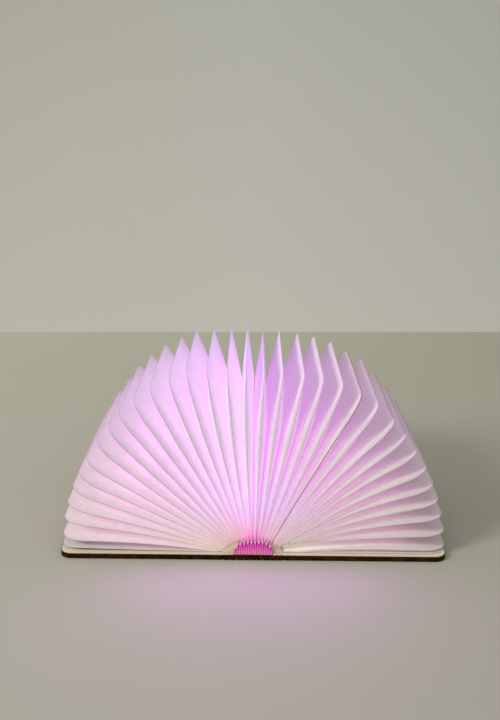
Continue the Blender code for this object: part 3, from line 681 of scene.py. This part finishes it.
def cover_sheet(name, side, side_name, margin, radius, levels, material):
    """A sheet that lies on a cover board, with round corners at the fore-edge. Its two levels
    are given as functions of the place on it."""
    inner = 4.5 * SLAT_PITCH + 0.02 * MM
    outer, half = OPEN_HALF_WIDTH - SHEET_MARGIN, HALF_DEPTH - margin
    straight = outer - radius
    rows = [inner + (straight - inner) * step / SHEET_ROWS for step in range(SHEET_ROWS + 1)]
    rows += [straight + radius * math.sin(math.radians(turn)) for turn in CORNER_TURNS]
    columns = column_places()
    vertices, faces, reach = [], [], []
    for level in levels:
        for x in rows:
            into = max(0, x - straight)
            depth = half - radius + math.sqrt(max(0, radius**2 - into**2))
            for share in columns:
                y = share * depth
                vertices.append((side * x, y, level(x, y)))
                reach.append(x / FAN_HALF_WIDTH)
    width, count = len(columns), len(rows)
    for number in (0, 1):
        start = number * width * count
        for row in range(count - 1):
            for column in range(width - 1):
                at = start + row * width + column
                faces.append((at, at + width, at + width + 1, at + 1))
    rim = [row * width for row in range(count)]
    rim += [(count - 1) * width + column for column in range(1, width)]
    rim += [row * width + width - 1 for row in reversed(range(count - 1))]
    rim += [column for column in reversed(range(1, width - 1))]
    for here, there in zip(rim, rim[1:] + rim[:1]):
        faces.append((here, there, there + width * count, here + width * count))
    sheet = closed_piece(name, vertices, faces, [material])
    write_attributes(sheet, reach=reach, glow=[0.16 * (1 - share) for share in reach],
                     turn=[1] * len(reach))
    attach(sheet, f"{side_name}_cover")
    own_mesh(sheet)
    return sheet


def endpaper(side, side_name, card, paper):
    """The sheet glued to the board, and the fly leaf over it, as deep as the pages."""
    glued = cover_sheet(
        f"endpaper_sheet_{side_name}", side, side_name, SHEET_MARGIN, SHEET_CORNER_RADIUS,
        (lambda x, y: BOARD_THICKNESS + SHEET_GAP, lambda x, y: ENDPAPER_TOP - 0.3 * MM),
        card)
    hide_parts(f"endpaper_{side_name}")
    cover_sheet(
        f"fly_leaf_{side_name}", side, side_name, HALF_DEPTH - PAGE_HALF_DEPTH,
        FLY_LEAF_CORNER_RADIUS,
        (lambda x, y: ENDPAPER_TOP - FLY_LEAF_THICKNESS + fly_leaf_lift(side, x, y),
         lambda x, y: ENDPAPER_TOP + fly_leaf_lift(side, x, y)),
        paper)


def fly_leaf_path(side):
    """The fly leaf seen from the tail, which the lowest page keeps clear of."""
    return [(side * x * MM, ENDPAPER_TOP + fly_leaf_lift(side, x * MM, PAGE_HALF_DEPTH))
            for x in (10, 16, 20, 30, 40, 50, 60, 70, 80, 90, 96, 101, 110)]


def arch_height(x):
    """The lit arch over the board, seen from the tail: rounder on its left shoulder."""
    share = min(1, abs(x) / ARCH_HALF_WIDTH)
    if x > 0:
        return ARCH_HEIGHT * (1 - share**4.5) ** (1 / 2.2)
    return ARCH_HEIGHT * (1 - share**3.4) ** (1 / 1.8)


def lit_pleats(name, body, start, end, fold, material):
    """Upright pleats that close both ends of the tunnel under the pages' mouths, except where
    the charging socket is at the head."""
    if start > end:
        start, end = end, start
    steps = max(4, 2 * round((end - start) / PLEAT_PITCH * 3))
    low = BOARD_THICKNESS + 0.04 * MM
    for sign, end_name in ((-1, "tail"), (1, "head")):
        if sign > 0 and abs(start + end) / 2 < SOCKET_HALF_WIDTH:
            continue
        vertices, faces, rise = [], [], []
        for step in range(steps + 1):
            x = start + (end - start) * step / steps
            fold_depth = PLEAT_DEPTH * math.cos(math.tau * x / PLEAT_PITCH)
            high = max(PLEAT_LOWEST, arch_height(x))
            front, back = PLEAT_FRONT + fold_depth, PLEAT_BACK + fold_depth
            ring = [(front, share) for share in PLEAT_SHARES]
            ring += [(back, share) for share in reversed(PLEAT_SHARES)]
            vertices += [(x, sign * y, low + share * high) for y, share in ring]
            rise += [share for y, share in ring]
        width = 2 * len(PLEAT_SHARES)
        for step in range(steps):
            for corner in range(width):
                a, b = step * width + corner, step * width + (corner + 1) % width
                faces.append((a, b, b + width, a + width))
        faces.append(tuple(range(width)))
        faces.append(tuple(steps * width + corner for corner in range(width)))
        piece = closed_piece(f"{name}_{end_name}", vertices, faces, [material], 60)
        write_attributes(piece, rise=rise)
        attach(piece, body)
        if fold:
            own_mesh(piece)


def hinge_lining(side, side_name, number, inner, outer, material):
    """The paper that lines the hinge under the pages' mouths: one strip on each slat, which
    rises to the mouths and has a low foot in front, outside the pleats."""
    low, steps = BOARD_THICKNESS + 0.05 * MM, LINING_STEPS
    width = 2 * len(LINING_PROFILE) + 1
    vertices, faces = [], []
    for step in range(steps + 1):
        x = inner + (outer - inner) * step / steps
        rise = MOUTH_HEIGHT * math.sqrt(1 - (x / MOUTH_HALF_WIDTH) ** 2) - LINING_CLEARANCE
        half = HALF_DEPTH - 0.45 * MM
        ring = []
        for from_end, flat, share in LINING_PROFILE:
            from_end *= MM
            if x < LINING_FOOT_START and from_end < LINING_FOOT:
                from_end = LINING_FOOT - (LINING_FOOT - from_end) * 0.02
            ring.append((half - from_end, flat * MM + share * rise))
        ring = [(-y, high) for y, high in ring] + [(0, rise)] + ring[::-1]
        for y, high in ring:
            vertices.append((side * x, y, low))
            vertices.append((side * x, y, low + high))
    for step in range(steps):
        for column in range(width - 1):
            at = 2 * (step * width + column)
            there = at + 2 * width
            faces.append((at, at + 2, there + 2, there))
            faces.append((at + 1, there + 1, there + 3, at + 3))
        for column in (0, width - 1):
            at = 2 * (step * width + column)
            faces.append((at, at + 1, at + 2 * width + 1, at + 2 * width))
    for step in (0, steps):
        for column in range(width - 1):
            at = 2 * (step * width + column)
            faces.append((at, at + 1, at + 3, at + 2))
    piece = closed_piece(f"hinge_lining_{side_name}_{number}", vertices, faces, [material])
    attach(piece, f"slat_{side_name}_{number}")
    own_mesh(piece)


def body_of_node(node):
    """The body that a CAD node rides on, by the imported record."""
    bodies = frame["record"]["behaviour"]["bodies"]
    return next(body for body, nodes in bodies.items() if node in nodes)


def paint(node_start, material):
    """Gives every node whose name starts so this material."""
    for name, obj in frame["nodes"].items():
        if name.startswith(node_start):
            obj.data.materials.clear()
            obj.data.materials.append(material)


def stage_sheet(name, corners, material):
    mesh = bpy.data.meshes.new(name)
    mesh.from_pydata(corners, [], [(0, 1, 2, 3)])
    mesh.materials.append(material)
    obj = bpy.data.objects.new(name, mesh)
    bpy.context.collection.objects.link(obj)


def painted_board(name, near, far, axis, start, end, across):
    """Matt emulsion on board, rolled on: even, with a barely visible drift of tone. Painted light
    lies over it: the colour fades from one tone to another away from the lamp and from the left to
    the right, standing in for how the lamps' light falls off."""
    material, tree, shader, place = new_material(name)
    parts = add(tree, "ShaderNodeSeparateXYZ", links={"Vector": (place, "Object")})
    painted_light_falloff = add(tree, "ShaderNodeMapRange", {"From Min": start, "From Max": end},
               {"Value": (parts, axis)})
    drift = add(tree, "ShaderNodeTexNoise", {"Scale": 1 / DRIFT_SIZE, "Detail": 3},
                {"Vector": (place, "Object")})
    first = add(tree, "ShaderNodeValToRGB", {"stops": near}, {"Fac": (drift, "Fac")})
    second = add(tree, "ShaderNodeValToRGB", {"stops": far}, {"Fac": (drift, "Fac")})
    colour = add(tree, "ShaderNodeMixRGB", links={
        "Fac": (painted_light_falloff, "Result"), "Color1": (first, "Color"), "Color2": (second, "Color")})
    sideways = add(tree, "ShaderNodeMapRange",
                   {"From Min": -SIDEWAYS_REACH, "From Max": SIDEWAYS_REACH},
                   {"Value": (parts, "X")})
    shade = add(tree, "ShaderNodeValToRGB", {"stops": across}, {"Fac": (sideways, "Result")})
    tone = add(tree, "ShaderNodeMixRGB", {"blend_type": "MULTIPLY", "Fac": 1.0},
               {"Color1": (colour, "Color"), "Color2": (shade, "Color")})
    tree.links.new(tone.outputs["Color"], shader.inputs["Base Color"])
    shader.inputs["Roughness"].default_value = 0.7
    shader.inputs["Specular IOR Level"].default_value = 0.2
    return material


def see_through_from_behind(material):
    """Lets a view from behind the wall pass through it."""
    tree = material.node_tree
    shader = next(node for node in tree.nodes if node.type == "BSDF_PRINCIPLED")
    output = next(node for node in tree.nodes if node.type == "OUTPUT_MATERIAL")
    side = add(tree, "ShaderNodeNewGeometry")
    clear = add(tree, "ShaderNodeBsdfTransparent")
    mix = add(tree, "ShaderNodeMixShader", links={"Fac": (side, "Backfacing")})
    tree.links.new(shader.outputs["BSDF"], mix.inputs[1])
    tree.links.new(clear.outputs["BSDF"], mix.inputs[2])
    tree.links.new(mix.outputs["Shader"], output.inputs["Surface"])


def soft_lamp(name, place, target, size, power, colour):
    data = bpy.data.lights.new(name, "AREA")
    data.shape = "RECTANGLE"
    data.size, data.size_y = size
    data.energy = power
    data.color = linear_colour(colour)[:3]
    lamp = bpy.data.objects.new(name, data)
    lamp.location = place
    lamp.rotation_euler = (Vector(place) - Vector(target)).to_track_quat("Z", "Y").to_euler()
    lamp.visible_camera = False
    bpy.context.collection.objects.link(lamp)


def set_camera():
    data = bpy.data.cameras.new("camera")
    data.lens = FOCAL_LENGTH
    camera = bpy.data.objects.new("camera", data)
    turn = Matrix.Rotation(CAMERA_TURN, 3, "Z")
    tilt = Matrix.Rotation(CAMERA_TILT, 3, "X")
    roll = Matrix.Rotation(CAMERA_ROLL, 3, "Z")
    camera.matrix_world = (turn @ tilt @ roll).to_4x4()
    camera.location = CAMERA_PLACE
    bpy.context.collection.objects.link(camera)
    bpy.context.scene.camera = camera


def set_stage():
    # Painted light on the floor: lighter toward the wall and darker to the right, in the fan's
    # shadow
    floor = painted_board("painted_floor", ((0.3, "#b4b2a8"), (0.7, "#b7b5ab")),
                          ((0.3, "#bfbfb0"), (0.7, "#c2c2b3")), "Y", -0.2, 0.45,
                          ((0, "#ffffff"), (0.5, "#fbfbf9"), (1, "#ededea")))
    # Painted light on the wall: brighter at its foot than higher up, and a little darker at the
    # left
    wall = painted_board("painted_wall", ((0.3, "#d0d0c9"), (0.7, "#d3d3cc")),
                         ((0.3, "#b3b4ac"), (0.7, "#b6b7af")), "Z", 0, 0.42,
                         ((0, "#f1f2ef"), (0.5, "#ffffff"), (1, "#fbfbfb")))
    see_through_from_behind(wall)
    far = STAGE_REACH
    left, right = WALL_DISTANCE - WALL_SLANT * far, WALL_DISTANCE + WALL_SLANT * far
    stage_sheet("floor", [(-far, -far, 0), (far, -far, 0), (far, far, 0), (-far, far, 0)], floor)
    stage_sheet("wall", [(-far, left, 0), (far, right, 0), (far, right, far), (-far, left, far)],
                wall)
    world = bpy.data.worlds.new("studio")
    bpy.context.scene.world = world
    world.use_nodes = True
    background = world.node_tree.nodes["Background"]
    background.inputs["Color"].default_value = linear_colour("#f6f5f2")
    background.inputs["Strength"].default_value = 0.7
    soft_lamp("key_lamp", (-1.6, -1.36, 1.28), (0, 0, 0.04), (0.6, 0.6), 30, "#fffcf6")
    # The lamp's own light on the floor before it, which a glowing surface alone gives with noise
    soft_lamp("spill_lamp", (0, -0.08, 0.045), (0, -0.2, 0), (0.13, 0.05), 0.034, "#d884ff")
    bpy.context.scene.view_settings.view_transform = "Standard"


PAPER = spun_paper()
# Kraft paper, machine-finished: matt brown, with a short felt of darker fibres
KRAFT = plain_finish("kraft_paper", ((0.3, "#7d5a40"), (0.7, "#94704f")), 1.1 * MM, 0.8)
PAGES = [Page(-1, "left", index) for index in reversed(range(PAGES_PER_SIDE))]
PAGES += [Page(1, "right", index) for index in range(PAGES_PER_SIDE)]
PATHS = [[page.point(page.fore_edge * step / 24 * 1.04) for step in range(25)] for page in PAGES]
PATHS = [fly_leaf_path(-1)] + PATHS + [fly_leaf_path(1)]
for number, page in enumerate(PAGES):
    below, above = PATHS[number], PATHS[number + 2]
    if page.side > 0:
        below, above = above, below
    carrier = body_of_node(f"page_{page.side_name}_{page.index + 1:02d}")
    paper_pocket(page, (above, below), carrier, PAPER, KRAFT)

WALNUT = burnt_walnut()
for start in ("cover_left", "cover_right", "spine_strip", "hinge_slat"):
    paint(start, WALNUT)
# Uncoated card, calendered: warm cream and matt, with a faint cloud in its tone, set a little
# darker than the card's own as painted shade from the pages over it
CARD = plain_finish("uncoated_card", ((0.3, "#dacdb8"), (0.7, "#e3d6c2")), 1.4 * MM, 0.85)
# Spun-bonded paper again, glued over the hinge: matt, and warmer where no light comes through
LINING = plain_finish("hinge_lining_paper", ((0.3, "#c6b2a0"), (0.7, "#cfbcab")), 1.4 * MM, 0.85)
PLEATS = pleated_paper()
DIFFUSER = lit_plastic("frosted_polycarbonate", ((0.3, "#c987b8"), (0.7, "#d69ac6")),
                       ((0, "#a81484"), (1, "#d438ae")), 0.5)
CAP = lit_plastic("tinted_polycarbonate", ((0.3, "#4a0a34"), (0.7, "#5c1244")),
                  ((0, "#3c0426"), (1, "#7a0a54")), 0.35)
for side, side_name in ((-1, "left"), (1, "right")):
    endpaper(side, side_name, CARD, PAPER)
    fold = f"{side_name}_cover_fold"
    for number in (1, 2, 3):
        start = ((number - 0.5) * SLAT_PITCH) * side
        end = min((number + 0.5) * SLAT_PITCH, 10.05 * MM) * side
        lit_pleats(f"lit_pleats_{side_name}_{number}", f"slat_{side_name}_{number}",
                   start, end, fold, PLEATS)
    for number, inner in ((2, LINING_START), (3, 2.505 * SLAT_PITCH), (4, 3.505 * SLAT_PITCH)):
        hinge_lining(side, side_name, number, inner, (number + 0.495) * SLAT_PITCH, LINING)
lit_pleats("lit_pleats_middle", "spine", -SLAT_PITCH / 2, SLAT_PITCH / 2, None, PLEATS)
paint("bar_diffuser", DIFFUSER)
paint("bar_cap", CAP)
# ABS, moulded: off-white, with a low satin grain
paint("bar_channel", plain_finish(
    "moulded_abs", ((0.3, "#e4e1da"), (0.7, "#eae7e1")), 0.8 * MM, 0.4))
# Nickel, plated over ground magnets: a warm bright grey that mirrors softly
NICKEL = plain_finish("nickel_plate", ((0.3, "#c4c1bb"), (0.7, "#cfccc6")), 2 * MM, 0.22, 1.0)
paint("cover_magnet", NICKEL)
paint("sensor_magnet", NICKEL)
# Steel, pressed and tinned: a colder bright grey with faint drawing marks
paint("usb_socket", plain_finish(
    "tinned_steel", ((0.3, "#bdbdc0"), (0.7, "#cbcbce")), 3.3 * MM, 0.3, 1.0))
# Aluminium foil, laminated: satin grey, a little uneven over the cell inside
paint("battery", plain_finish(
    "laminated_foil", ((0.3, "#a9abb0"), (0.7, "#bcbec3")), 2.9 * MM, 0.35, 0.9))
# Solder mask, screen-printed: deep green with a soft gloss
paint("charge_board", plain_finish(
    "green_solder_mask", ((0.3, "#0e4226"), (0.7, "#145231")), 2.5 * MM, 0.4))
# Solder mask in white, screen-printed: it sends the chips' light outward
paint("led_strip", plain_finish(
    "white_solder_mask", ((0.3, "#e8e4d6"), (0.7, "#efecdf")), 2 * MM, 0.4))
# Epoxy, moulded round the switch: black and half matt
paint("magnetic_switch", plain_finish(
    "black_epoxy", ((0.3, "#141414"), (0.7, "#1d1d1d")), 1.25 * MM, 0.5))

set_stage()
set_camera()
